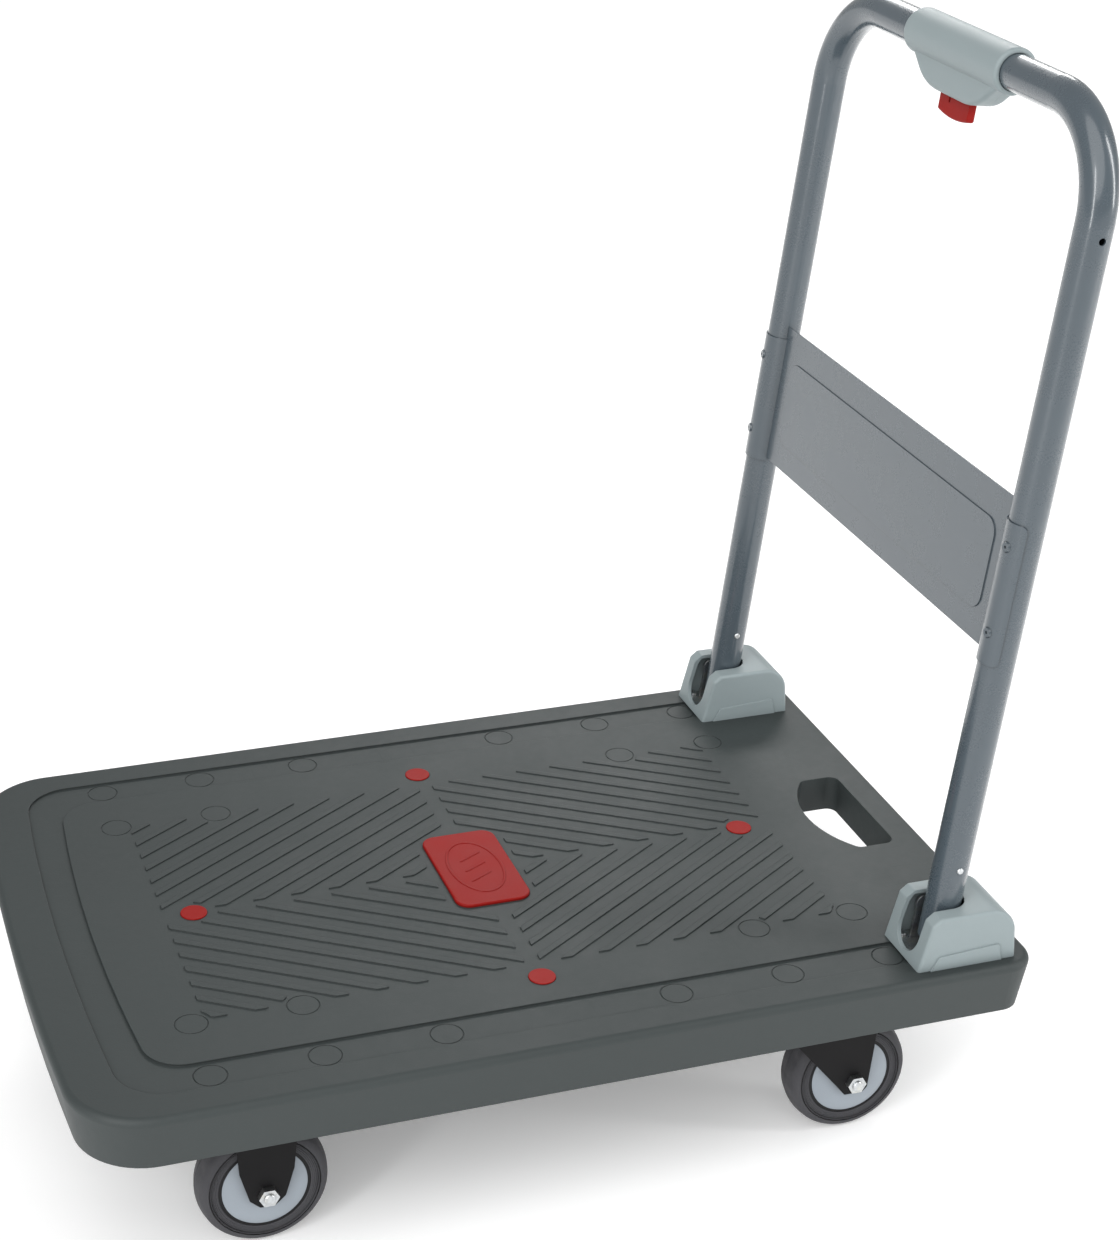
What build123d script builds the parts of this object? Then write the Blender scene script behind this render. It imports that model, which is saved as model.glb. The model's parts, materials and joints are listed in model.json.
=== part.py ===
from build123d import *
import os
from math import cos, pi, radians, sin, sqrt, tan

os.makedirs("parts", exist_ok=True)

# Folding platform cart. Millimetres, +Z up, the floor is Z = 0.
# +X points to the rear, where the handle stands. +Y is the cart's right-hand side.

# ---------------------------------------------------------------- overall sizes
deck_length = 716.0
deck_width = 480.0
deck_depth = 42.0            # height of the moulded skirt
wheel_radius = 48.0
handle_reach = 598.0         # hinge pin to the crossbar's axis, along the handle
handle_inset = 39.5          # deck's edge to an upright's axis
handle_lean = 6.4            # outward lean of the upright handle, degrees

# ---------------------------------------------------------------- clearances
running_gap = 0.05           # radial play of a pin that turns
body_gap = 0.4               # air between pieces that move past each other
slide_gap = 0.5              # play of a piece that slides in a guide

# ---------------------------------------------------------------- deck moulding
skin = 4.0
skirt_wall = 4.0
skirt_draft = 9.0
top_round = 5.0              # rounding of the deck's top edge
front_bow = 10.0             # how far the front edge bulges
front_corner = 58.0
rear_corner = 24.0
channel_side = (27.0, 56.0)  # deck's edge to the channel's outer and inner edge
channel_front = (35.0, 59.0)
channel_depth = 1.6
bar_height = 0.9             # raised tread bars
bar_width = 4.9
bar_pitch = 16.0
bar_angle = 33.0
tread_length = 243.0         # half-length of the tread field
tread_width = 136.0          # half-width of the tread field
tread_aisle = 4.0            # half-width of the bare strips on the centre lines
rib_thickness = 3.0
rib_height = 26.0
ring_outer = 12.0            # sealing discs over the caster fasteners
ring_groove = 0.8
ring_depth = 0.45
slot_depth_x = 51.0          # hand slot, front to back
slot_width_y = 110.0
slot_inset = 26.0            # deck's rear edge to the straight edge of the hand slot
slot_bulge = 20.0
slot_lip = 4.0
slot_lip_depth = 24.0

# ---------------------------------------------------------------- badge and dots
badge_size = (59.0, 104.0)
badge_corner = 11.0
badge_height = 2.2
relief_height = 0.35         # relief on the badge
relief_line = 1.8
dot_radius = 10.0
dot_height = 0.8
dot_spacing = (442.0, 308.0)

# ---------------------------------------------------------------- casters
caster_inset = (145.0, 71.0) # caster centres from the deck's ends and sides
bolt_spacing = (80.0, 60.0)
plate_size = (104.0, 84.0)
plate_thickness = 2.5
bolt_radius = 4.0
bolt_head = 13.0             # across flats
bolt_head_height = 5.3
bolt_grip = 14.0             # thread length held in the deck's bosses
boss_radius = 11.0
fork_gap = 38.0
fork_thickness = 2.5
crown_air = 7.5              # tyre to the top of the swivel fork's crown
race_height = 19.0           # crown to the top of the mounting plate
swivel_trail = 27.5
axle_radius = 4.0
thread_end = 1.6             # bolt end that stands out of its nut
spacer_radius = 7.0
race_radius = 20.0
race_wall = 9.0
kingpin_radius = 6.0
kingpin_head = 12.0

# ---------------------------------------------------------------- wheels
tyre_width = 28.0
tyre_depth = 14.6            # rubber's thickness on the rim
wall_step = 1.0              # the tyre's inner wall lies this much deeper
wall_step_depth = 8.5        # tread to the step in the tyre's wall
crown_drop = 1.2
shoulder_round = 7.0
rim_width = 25.0
cap_border = 2.4             # rim's ring round the cap
cap_dome = 3.4
hub_air = 1.0                # hub to a fork leg

# ---------------------------------------------------------------- handle
tube_radius = 13.25
tube_wall = 1.5
bend_radius = 70.0
tube_tail = 11.0             # tube below the hinge pin
hinge_inset = 67.0           # deck's rear edge to the hinge pin
sweep_air = 2.279            # tube's end to the bracket's base, as the tube turns
hinge_pin_radius = 4.0
bush_wall = 2.0
ear_play = 0.75              # tube to an ear
ear_thickness = 2.5
ear_radius = 11.0
ear_rise = 15.0              # the ears' top above the hinge pin
bracket_base = 2.5
bracket_screw_radius = 2.0
bracket_screw_inset = (8.0, 4.5)
ear_to_screw = 3.5
screw_depth = 12.0
slot_floor = 4.5             # the housing's slot starts this far above the deck
housing_length = 79.5
crown_gap = 2.0              # the ears' top to the housing's ceiling
housing_wall = 3.0
housing_nose_x = 28.5        # hinge pin to the housing's front face
housing_nose = 9.0           # backward slope of the housing's front face
housing_brow = 5.0           # the front face ends this far below the crown
housing_back = (24.0, 20.0)  # length and height of the rounded rear
panel_bottom = 215.0         # along the handle, from the hinge pin
panel_top = 329.0
wrap_bottom = 212.0
wrap_top = 318.0
panel_sheet = 1.2
panel_offset = 3.0           # the sheet stands this far towards the deck
emboss_low = 21.0            # from the sheet's lower edge to its pressed field
emboss_high = 24.0
emboss_side = 17.0
emboss_corner = 12.0
wrap_corner = 5.0
rivet_low = 235.5
rivet_high = 300.0
rivet_radius = 2.0
rivet_seat = 0.5             # depth of the flat spot under a panel rivet's head
rivet_head = 1.7
rivet_angle = 10.0           # the rivets face this far outward from straight ahead
wrap_end = 63.0              # the wraps end this far round, outward from straight ahead
wire_hole = 520.0

# ---------------------------------------------------------------- grip and release
grip_radius = 17.0
grip_length = 138.0
belly_drop = 34.0            # crossbar axis to the belly's lowest edge
belly_half = 18.0
belly_knee = (45.0, 27.0)    # where the belly's edge turns towards the sleeve
belly_width = 22.0
belly_round = 5.0
trigger_width = 43.0
trigger_drop = 50.0          # crossbar axis to the trigger's lowest edge
trigger_bow = 2.5            # bulge of its lowest edge
trigger_thickness = 6.0
trigger_mark = (7.0, -34.0)   # centre of the short slot in its face
mark_size = (11.0, 2.2)
grip_end_round = 3.0
trigger_travel = 8.0
grip_screw_radius = 1.5
plunger_play = 0.75
plunger_bottom = 28.0
plunger_top = 76.0
guide_radius = 2.5           # rivet across the tube that guides the plunger
guide_at = 50.0
latch_offset = 8.6           # the latch nose stands behind the hinge pin
latch_tip = 14.0             # the nose ends this far below the hinge pin
rod_radius = 1.5
rod_bottom = 60.0
rod_top = 470.0
seat_at = 106.0
seat_length = 8.0
spring_radius = 8.0
spring_wire = 0.9
spring_turns = 7

# ---------------------------------------------------------------- derived places
fork_crown_z = 2 * wheel_radius + crown_air
caster_height = fork_crown_z + race_height           # floor to the top of a caster's mounting plate
deck_top = caster_height + deck_depth
tread_inner = wheel_radius - tyre_depth
wall_step_radius = wheel_radius - wall_step_depth
cap_radius = tread_inner - cap_border
hub_length = fork_gap - 2 * hub_air
caster_x = deck_length / 2 - caster_inset[0]
caster_y = deck_width / 2 - caster_inset[1]
channel_outer, channel_inner = (deck_width / 2 - inset for inset in channel_side)
channel_front_outer, channel_front_inner = (deck_length / 2 - inset for inset in channel_front)
slot_rear_x = deck_length / 2 - slot_inset
hinge_x = deck_length / 2 - hinge_inset
bore_radius = tube_radius - tube_wall
plunger_radius = bore_radius - plunger_play
ear_gap = 2 * (tube_radius + ear_play)
ear_outer = ear_gap / 2 + ear_thickness
tail_sweep = sqrt(tube_tail**2 + tube_radius**2)     # reach of the tube's end round the pin
hinge_height = bracket_base + tail_sweep + sweep_air
housing_height = hinge_height + ear_rise + crown_gap + housing_wall
housing_width = 2 * (ear_outer + ear_to_screw + bracket_screw_inset[1] + housing_wall)
housing_front_x = hinge_x - housing_nose_x
lean = radians(handle_lean)
draft_angle = radians(skirt_draft)
edge_loss = top_round * (tan(draft_angle) + 1 / cos(draft_angle) - 1)   # taken off by the round edge
deck_reach = deck_length / 2 - edge_loss
rearmost = max(deck_reach, hinge_x + handle_reach * sin(lean) + grip_radius)
deck_x = -(rearmost - deck_reach) / 2            # the whole cart's box is centred on X = 0
upright_y = deck_width / 2 - handle_inset
hinge_z = deck_top + hinge_height
base_x = deck_x + housing_front_x + housing_length / 2      # middle of a hinge's mounting area
fork_face = fork_gap / 2 + fork_thickness
sides = {"left": -1, "right": 1}


def hex_radius(across_flats):
    """Corner radius of a hexagon with this width across its flats."""
    return across_flats / 2 / cos(pi / 6)


def handle_plane(across=0.0, along=0.0, behind=0.0):
    """Plane of the handle: X across the cart, Y up the uprights, Z to the rear."""
    origin = (
        deck_x + hinge_x + along * sin(lean) + behind * cos(lean),
        across,
        hinge_z + along * cos(lean) - behind * sin(lean),
    )
    return Plane(origin=origin, x_dir=(0, 1, 0), z_dir=(cos(lean), 0, -sin(lean)))


def upright_plane(across, along):
    """Plane square to an upright, its X across the cart, its Z up the tube."""
    return Plane(
        origin=handle_plane(across, along).origin,
        x_dir=(0, 1, 0),
        z_dir=(sin(lean), 0, cos(lean)),
    )


def bowed_outline(sketch, front, rear, half_width, bow, front_radius, rear_radius):
    """Fill the open sketch with an outline whose front edge bulges by bow."""
    with BuildLine() as edge:
        Polyline(
            (deck_x - front + bow, half_width),
            (deck_x + rear, half_width),
            (deck_x + rear, -half_width),
            (deck_x - front + bow, -half_width),
        )
        ThreePointArc(
            (deck_x - front + bow, -half_width),
            (deck_x - front, 0),
            (deck_x - front + bow, half_width),
        )
    make_face(edge.edges())
    corners = sketch.vertices().group_by(Axis.X)
    if rear_radius > 0:
        fillet(corners[-1], rear_radius)
    fillet(sketch.vertices().group_by(Axis.X)[0], front_radius)


def slot_outline(margin=0.0):
    """D-shaped hand slot: a straight rear edge and a front edge that bulges forward."""
    rear_x = deck_x + slot_rear_x + margin
    side_x = rear_x - (slot_depth_x - slot_bulge) - margin
    half = slot_width_y / 2 + margin
    with BuildLine() as edge:
        Polyline((side_x, half), (rear_x, half), (rear_x, -half), (side_x, -half))
        ThreePointArc((side_x, -half), (side_x - slot_bulge - margin, 0), (side_x, half))
    make_face(edge.edges())


def caster_bolt_places():
    """Centres of the sixteen caster bolts."""
    return [
        (deck_x + sx * caster_x + bx * bolt_spacing[0] / 2, sy * caster_y + by * bolt_spacing[1] / 2)
        for sx in (-1, 1)
        for sy in (-1, 1)
        for bx in (-1, 1)
        for by in (-1, 1)
    ]


def ring_places():
    """Centres of the sealing discs: over each caster bolt, and one more on each long side's half."""
    middle_x = caster_x - 1.5 * bolt_spacing[0] - 7.0
    extra_y = caster_y + bolt_spacing[1] / 2
    extras = [(deck_x + sx * middle_x, sy * extra_y) for sx in (-1, 1) for sy in (-1, 1)]
    return caster_bolt_places() + extras


def dot_places():
    """Centres of the four round dots on the tread field's centre lines."""
    dx, dy = dot_spacing[0] / 2, dot_spacing[1] / 2
    return [(deck_x - dx, 0), (deck_x + dx, 0), (deck_x, -dy), (deck_x, dy)]


def rivet_plane(side, along):
    """Plane on an upright's axis that faces along a panel rivet, out of the front."""
    turn = radians(rivet_angle)
    return Plane(
        origin=handle_plane(side * upright_y, along).origin,
        x_dir=(sin(lean), 0, cos(lean)),
        z_dir=(-cos(turn) * cos(lean), side * sin(turn), cos(turn) * sin(lean)),
    )


def bracket_screw_places():
    """Centres of the eight screws that hold the hinge brackets to the deck."""
    dx = housing_length / 2 - housing_wall - bracket_screw_inset[0]
    dy = housing_width / 2 - housing_wall - bracket_screw_inset[1]
    return [
        (base_x + sx * dx, side * upright_y + sy * dy)
        for side in sides.values()
        for sx in (-1, 1)
        for sy in (-1, 1)
    ]


def housing_outline(inset):
    """Side outline of a hinge housing: sloped front face, flat crown, rounded rear."""
    low_x, high_x = deck_x + housing_front_x, deck_x + housing_front_x + housing_length
    round_x, round_z = high_x - housing_back[0], deck_top + housing_height - housing_back[1]
    across, rise = housing_back[0] - 2 - inset, housing_back[1] - inset
    crown = deck_top + housing_height - inset
    half_turn = sqrt(0.5)
    with BuildLine() as edge:
        Polyline(
            (round_x, crown),
            (deck_x + hinge_x - tube_radius, crown),
            (low_x + housing_nose + inset, crown - housing_brow),
            (low_x + inset, deck_top),
            (high_x - inset, deck_top),
            (round_x + across, round_z),
        )
        ThreePointArc(
            (round_x + across, round_z),
            (round_x + across * half_turn, round_z + rise * half_turn),
            (round_x, crown),
        )
    make_face(edge.edges())


def grip_screw_places():
    """Centres of the two grip screws, beside the trigger's pocket."""
    across = trigger_width / 2 + 19
    return [(-across, -(tube_radius + belly_drop) / 2), (across, -(tube_radius + belly_drop) / 2)]


half_x, half_y = deck_length / 2, deck_width / 2
draft = tan(draft_angle)
pocket_top = deck_top - skin
pocket_floor = pocket_top - rib_height
pocket_inset = skirt_wall + (skin + rib_height) * draft

# ================================================================ deck
with BuildPart() as deck:
    with BuildSketch(Plane.XY.offset(deck_top)) as outline:
        bowed_outline(outline, half_x, half_x, half_y, front_bow, front_corner, rear_corner)
    extrude(amount=deck_depth, dir=(0, 0, -1), taper=skirt_draft)
    fillet(deck.faces().sort_by(Axis.Z)[-1].edges(), top_round)

    # open underside below the ribs
    with BuildSketch(Plane.XY.offset(pocket_floor)) as hollow:
        bowed_outline(
            hollow,
            half_x - pocket_inset,
            half_x - pocket_inset,
            half_y - pocket_inset,
            front_bow,
            front_corner - pocket_inset,
            rear_corner - pocket_inset,
        )
    extrude(amount=deck_depth, dir=(0, 0, -1), taper=skirt_draft, mode=Mode.SUBTRACT)

    # pockets between the ribs, clear of the bosses, the hand slot and the hinge pads
    with BuildSketch(Plane.XY.offset(pocket_floor)) as pockets:
        bowed_outline(
            pockets,
            half_x - pocket_inset,
            half_x - pocket_inset,
            half_y - pocket_inset,
            front_bow,
            front_corner - pocket_inset,
            rear_corner - pocket_inset,
        )
        with Locations((deck_x, 0)):
            with GridLocations(deck_length / 10, 0, 9, 1):
                Rectangle(rib_thickness, deck_width, mode=Mode.SUBTRACT)
            with GridLocations(0, deck_width / 8, 1, 7):
                Rectangle(deck_length, rib_thickness, mode=Mode.SUBTRACT)
        with Locations(*caster_bolt_places()):
            Circle(boss_radius, mode=Mode.SUBTRACT)
        with Locations(*[(base_x, side * upright_y) for side in sides.values()]):
            Rectangle(housing_length, housing_width, mode=Mode.SUBTRACT)
        with Locations((deck_x + slot_rear_x - slot_depth_x / 2, 0)):
            Rectangle(slot_depth_x + 4 * slot_lip, slot_width_y + 4 * slot_lip, mode=Mode.SUBTRACT)
    extrude(amount=rib_height, mode=Mode.SUBTRACT)

    # caster pads hang from the ribs down to the mounting plates
    with BuildSketch(Plane.XY.offset(caster_height)):
        with Locations((deck_x, 0)):
            with GridLocations(2 * caster_x, 2 * caster_y, 2, 2):
                RectangleRounded(plate_size[0] + 8, plate_size[1] + 8, 8)
    extrude(amount=pocket_floor - caster_height)
    with BuildSketch(Plane.XY.offset(caster_height)):
        with Locations(*caster_bolt_places()):
            Circle(bolt_radius)
    extrude(amount=bolt_grip, mode=Mode.SUBTRACT)

    # recessed channel along both sides and the front, open towards the hinges
    with BuildSketch(Plane.XY.offset(deck_top - channel_depth)) as channel:
        channel_rear = housing_front_x + 4
        bowed_outline(
            channel, channel_front_outer, channel_rear, channel_outer, front_bow, front_corner - 22, 0
        )
        with BuildSketch(Plane.XY, mode=Mode.PRIVATE) as island:
            bowed_outline(
                island, channel_front_inner, channel_rear + 10, channel_inner, front_bow, front_corner / 2, 0
            )
        add(island.sketch, mode=Mode.SUBTRACT)
    extrude(amount=2 * channel_depth, mode=Mode.SUBTRACT)

    # raised tread bars: four mirrored fields of slanted bars round the badge
    with BuildSketch(Plane.XY.offset(deck_top - bar_height)) as tread:
        first = 2 * bar_pitch
        bar_count = int((tread_length * sin(radians(bar_angle)) + tread_width) / bar_pitch) + 1
        for sx in (-1, 1):
            for sy in (-1, 1):
                with BuildSketch(Plane.XY, mode=Mode.PRIVATE) as field:
                    for step in range(bar_count):
                        reach = first + step * bar_pitch
                        with Locations(
                            Location(
                                (
                                    deck_x + sx * reach * sin(radians(bar_angle)),
                                    sy * reach * cos(radians(bar_angle)),
                                ),
                                -sx * sy * bar_angle,
                            )
                        ):
                            Rectangle(2 * deck_length, bar_width)
                    with Locations((deck_x + sx * (tread_length + 1.5 * tread_aisle) / 2,
                                    sy * (tread_width + tread_aisle) / 2)):
                        Rectangle(
                            tread_length - 1.5 * tread_aisle, tread_width - tread_aisle, mode=Mode.INTERSECT
                        )
                add(field.sketch)
        with Locations(*ring_places()):
            Circle(ring_outer + 3, mode=Mode.SUBTRACT)
        with Locations(*dot_places()):
            Circle(dot_radius + 4, mode=Mode.SUBTRACT)
        with Locations((deck_x, 0)):
            RectangleRounded(badge_size[0] + 12, badge_size[1] + 12, badge_corner + 6, mode=Mode.SUBTRACT)
    extrude(amount=2 * bar_height)

    # grooves round the sealing discs, cut from the channel's floor or from the deck's top
    for level, wanted in ((deck_top - channel_depth, True), (deck_top, False)):
        with BuildSketch(Plane.XY.offset(level - ring_depth)):
            with Locations(*[p for p in ring_places() if (abs(p[1]) > channel_inner) == wanted]):
                Circle(ring_outer)
                Circle(ring_outer - ring_groove, mode=Mode.SUBTRACT)
        extrude(amount=2 * ring_depth, mode=Mode.SUBTRACT)

    # seats of the badge and the dots
    with BuildSketch(Plane.XY.offset(deck_top - skin / 3)):
        with Locations((deck_x, 0)):
            RectangleRounded(*badge_size, badge_corner)
        with Locations(*dot_places()):
            Circle(dot_radius)
    extrude(amount=skin, mode=Mode.SUBTRACT)

    # hand slot with its collar
    with BuildSketch(Plane.XY.offset(pocket_top - slot_lip_depth)) as around:
        with Locations((deck_x + slot_rear_x - slot_depth_x / 2, 0)):
            Rectangle(slot_depth_x + 4 * slot_lip, slot_width_y + 4 * slot_lip)
        slot_outline(margin=slot_lip)
        with BuildSketch(Plane.XY, mode=Mode.PRIVATE) as collar:
            slot_outline(margin=slot_lip)
        add(collar.sketch, mode=Mode.SUBTRACT)
    extrude(amount=-deck_depth, mode=Mode.SUBTRACT)
    with BuildSketch(Plane.XY.offset(deck_top)) as opening:
        slot_outline()
        fillet(opening.vertices(), 8)
    extrude(amount=2 * deck_depth, both=True, mode=Mode.SUBTRACT)

    # pilot holes of the hinge brackets' screws
    with BuildSketch(Plane.XY.offset(deck_top - screw_depth)):
        with Locations(*bracket_screw_places()):
            Circle(bracket_screw_radius)
    extrude(amount=screw_depth + bar_height, mode=Mode.SUBTRACT)
deck.part.label = "deck"
export_step(deck.part, "parts/deck.step")

# ================================================================ badge and dots
badge_seat = deck_top - skin / 3
relief_reach = (0.36 * badge_size[0], 0.36 * badge_size[1])
with BuildPart() as badge_plate:
    with BuildSketch(Plane.XY.offset(badge_seat)):
        with Locations((deck_x, 0)):
            RectangleRounded(*badge_size, badge_corner)
    extrude(amount=badge_height + skin / 3)
    fillet(badge_plate.faces().sort_by(Axis.Z)[-1].edges(), badge_height / 2)
    # plain relief: an oval ring and three slanted bars
    with BuildSketch(Plane.XY.offset(deck_top + badge_height - relief_height)):
        with Locations((deck_x, 0)):
            Ellipse(*relief_reach)
            Ellipse(*(reach - relief_line for reach in relief_reach), mode=Mode.SUBTRACT)
        for step in (-1, 0, 1):
            with Locations(Location((deck_x, step * badge_size[1] / 7), 28)):
                SlotOverall(relief_reach[0], relief_line)
    extrude(amount=2 * relief_height)
badge_plate.part.label = "badge_plate"
export_step(badge_plate.part, "parts/badge_plate.step")

with BuildPart() as deck_dots:
    with BuildSketch(Plane.XY.offset(badge_seat)):
        with Locations(*dot_places()):
            Circle(dot_radius)
    extrude(amount=dot_height + skin / 3)
    fillet(deck_dots.faces().group_by(Axis.Z)[-1].edges(), dot_height / 2)
deck_dots.part.label = "deck_dots"
export_step(deck_dots.part, "parts/deck_dots.step")

# ================================================================ hinges
base_length = housing_length - 2 * housing_wall - 6
base_width = housing_width - 2 * housing_wall - 2
slot_half = tube_radius + 1.9

for side, sy in sides.items():
    middle = sy * upright_y

    with BuildPart() as hinge_bracket:
        with BuildSketch(Plane.XY.offset(deck_top)):
            with Locations((base_x, middle)):
                RectangleRounded(base_length, base_width, 5)
            with Locations(*bracket_screw_places()):
                Circle(bracket_screw_radius, mode=Mode.SUBTRACT)
        extrude(amount=bracket_base)
        for ear in (-1, 1):
            with BuildSketch(Plane.XZ.offset(-middle - ear * (ear_gap / 2 + ear_thickness / 2))) as flank:
                with BuildLine() as flank_edge:
                    Polyline(
                        (base_x - base_length / 2 + 8, deck_top),
                        (deck_x + hinge_x - ear_radius, hinge_z),
                        (deck_x + hinge_x - ear_radius, hinge_z + ear_rise),
                        (deck_x + hinge_x + ear_radius + 6, hinge_z + ear_rise),
                        (deck_x + hinge_x + ear_radius + 12, deck_top),
                        close=True,
                    )
                make_face()
                fillet(flank.vertices().group_by(Axis.Y)[-1], 6)
                with Locations((deck_x + hinge_x, hinge_z)):
                    Circle(hinge_pin_radius, mode=Mode.SUBTRACT)
            extrude(amount=ear_thickness / 2, both=True)
        # cross tab behind the tube, which stops the upright handle
        stop_low = sqrt(tail_sweep**2 - tube_radius**2) + 1
        with BuildSketch(handle_plane(middle, 0, tube_radius + body_gap)):
            with Locations((0, (stop_low + ear_rise - 2) / 2)):
                Rectangle(ear_gap + ear_thickness, ear_rise - 2 - stop_low)
        extrude(amount=ear_thickness)
    hinge_bracket.part.label = f"hinge_bracket_{side}"
    export_step(hinge_bracket.part, f"parts/hinge_bracket_{side}.step")

    with BuildPart() as hinge_pin:
        with BuildSketch(Plane.XZ.offset(-middle)):
            with Locations((deck_x + hinge_x, hinge_z)):
                Circle(hinge_pin_radius)
        extrude(amount=ear_outer, both=True)
        for ear, head in ((-1, 7.0), (1, 6.0)):
            with BuildSketch(Plane.XZ.offset(-middle - ear * ear_outer)):
                with Locations((deck_x + hinge_x, hinge_z)):
                    Circle(head)
            extrude(amount=-ear * 2.6)
        pin_ends = hinge_pin.faces().sort_by(Axis.Y)
        fillet(pin_ends[0].edges() + pin_ends[-1].edges(), 1)
    hinge_pin.part.label = f"hinge_pin_{side}"
    export_step(hinge_pin.part, f"parts/hinge_pin_{side}.step")

    with BuildPart() as housing:
        front, rear = housing_front_x, housing_front_x + housing_length
        with BuildSketch(Plane.XZ.offset(-middle)) as shape:
            housing_outline(0)
            fillet(shape.vertices().sort_by(Axis.Y)[-3:].sort_by(Axis.X)[:2], 3)
        extrude(amount=housing_width / 2, both=True)
        long_edges = housing.faces().filter_by(Axis.Y).edges().filter_by(
            lambda e: e.center().Z > deck_top + 1
        )
        fillet(long_edges, 2.5)
        # side pads
        with BuildSketch(Plane.XZ.offset(-middle)) as pad:
            with BuildLine() as pad_edge:
                Polyline(
                    (deck_x + front + 10, deck_top),
                    (deck_x + front + 16, deck_top + 11),
                    (deck_x + rear - 15, deck_top + 14),
                    (deck_x + rear - 12, deck_top),
                    close=True,
                )
            make_face()
            fillet(pad.vertices().group_by(Axis.Y)[-1] + pad.vertices().group_by(Axis.Y)[-2], 2.5)
        extrude(amount=housing_width / 2 + 1, both=True)
        # cavity
        with BuildSketch(Plane.XZ.offset(-middle)):
            housing_outline(housing_wall)
        extrude(amount=housing_width / 2 - housing_wall, both=True, mode=Mode.SUBTRACT)
        # slot for the upright: round-bottomed in the front wall, round-ended in the top wall
        with BuildSketch(Plane.YZ.offset(deck_x + front - 5)) as mouth:
            with Locations((middle, deck_top + slot_floor + slot_half)):
                Circle(slot_half)
            with Locations((middle, deck_top + slot_floor + slot_half + housing_height / 2)):
                Rectangle(2 * slot_half, housing_height)
        extrude(amount=hinge_x - front + 5, mode=Mode.SUBTRACT)
        with BuildSketch(Plane.XY.offset(deck_top + housing_height / 2)) as throat:
            with Locations((deck_x + hinge_x + (housing_height - hinge_height) * tan(lean), middle)):
                Circle(slot_half)
            with Locations((deck_x + hinge_x - slot_half, middle)):
                Rectangle(2 * slot_half, 2 * slot_half)
        extrude(amount=housing_height, mode=Mode.SUBTRACT)
    housing.part.label = f"socket_housing_{side}"
    export_step(housing.part, f"parts/socket_housing_{side}.step")

with BuildPart() as bracket_screws:
    with BuildSketch(Plane.XY.offset(deck_top - screw_depth + 1)):
        with Locations(*bracket_screw_places()):
            Circle(bracket_screw_radius)
    extrude(amount=screw_depth - 1 + bracket_base)
    with BuildSketch(Plane.XY.offset(deck_top + bracket_base)):
        with Locations(*bracket_screw_places()):
            Circle(1.7 * bracket_screw_radius)
    extrude(amount=2)
    with BuildSketch(Plane.XY.offset(deck_top + bracket_base + 1)):
        with Locations(*bracket_screw_places()):
            Rectangle(2.4 * bracket_screw_radius, 0.8)
            Rectangle(0.8, 2.4 * bracket_screw_radius)
    extrude(amount=2, mode=Mode.SUBTRACT)
bracket_screws.part.label = "bracket_screws"
export_step(bracket_screws.part, "parts/bracket_screws.step")

# ================================================================ casters
plate_z = caster_height - plate_thickness
with BuildPart() as caster_bolts:
    with BuildSketch(Plane.XY.offset(plate_z)):
        with Locations(*caster_bolt_places()):
            Circle(bolt_radius)
    extrude(amount=plate_thickness + bolt_grip - 1)
    with BuildSketch(Plane.XY.offset(plate_z)):
        with Locations(*caster_bolt_places()):
            RegularPolygon(hex_radius(bolt_head), 6)
    extrude(amount=-bolt_head_height)
    with BuildSketch(Plane.XY.offset(plate_z)):
        with Locations(*caster_bolt_places()):
            Circle(bolt_head * 0.65)
    extrude(amount=-1.2)
caster_bolts.part.label = "caster_bolts"
export_step(caster_bolts.part, "parts/caster_bolts.step")


def mounting_plate(x, y):
    """Caster's top plate with its four bolt holes; adds to the part in work."""
    with BuildSketch(Plane.XY.offset(plate_z)) as plate:
        with Locations((x, y)):
            RectangleRounded(*plate_size, 8)
            with GridLocations(*bolt_spacing, 2, 2):
                Circle(bolt_radius, mode=Mode.SUBTRACT)
    return plate.sketch


def leg_outline(points, hole_at):
    """One fork leg's outline on an upright plane, with its axle hole."""
    with BuildLine() as edge:
        Polyline(*points, close=True)
    with BuildSketch(Plane.XY) as leg:
        make_face(edge.edges())
        fillet(leg.vertices().group_by(Axis.Y)[0], 2)
        with Locations(hole_at):
            Circle(axle_radius, mode=Mode.SUBTRACT)
    return leg.sketch


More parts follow.
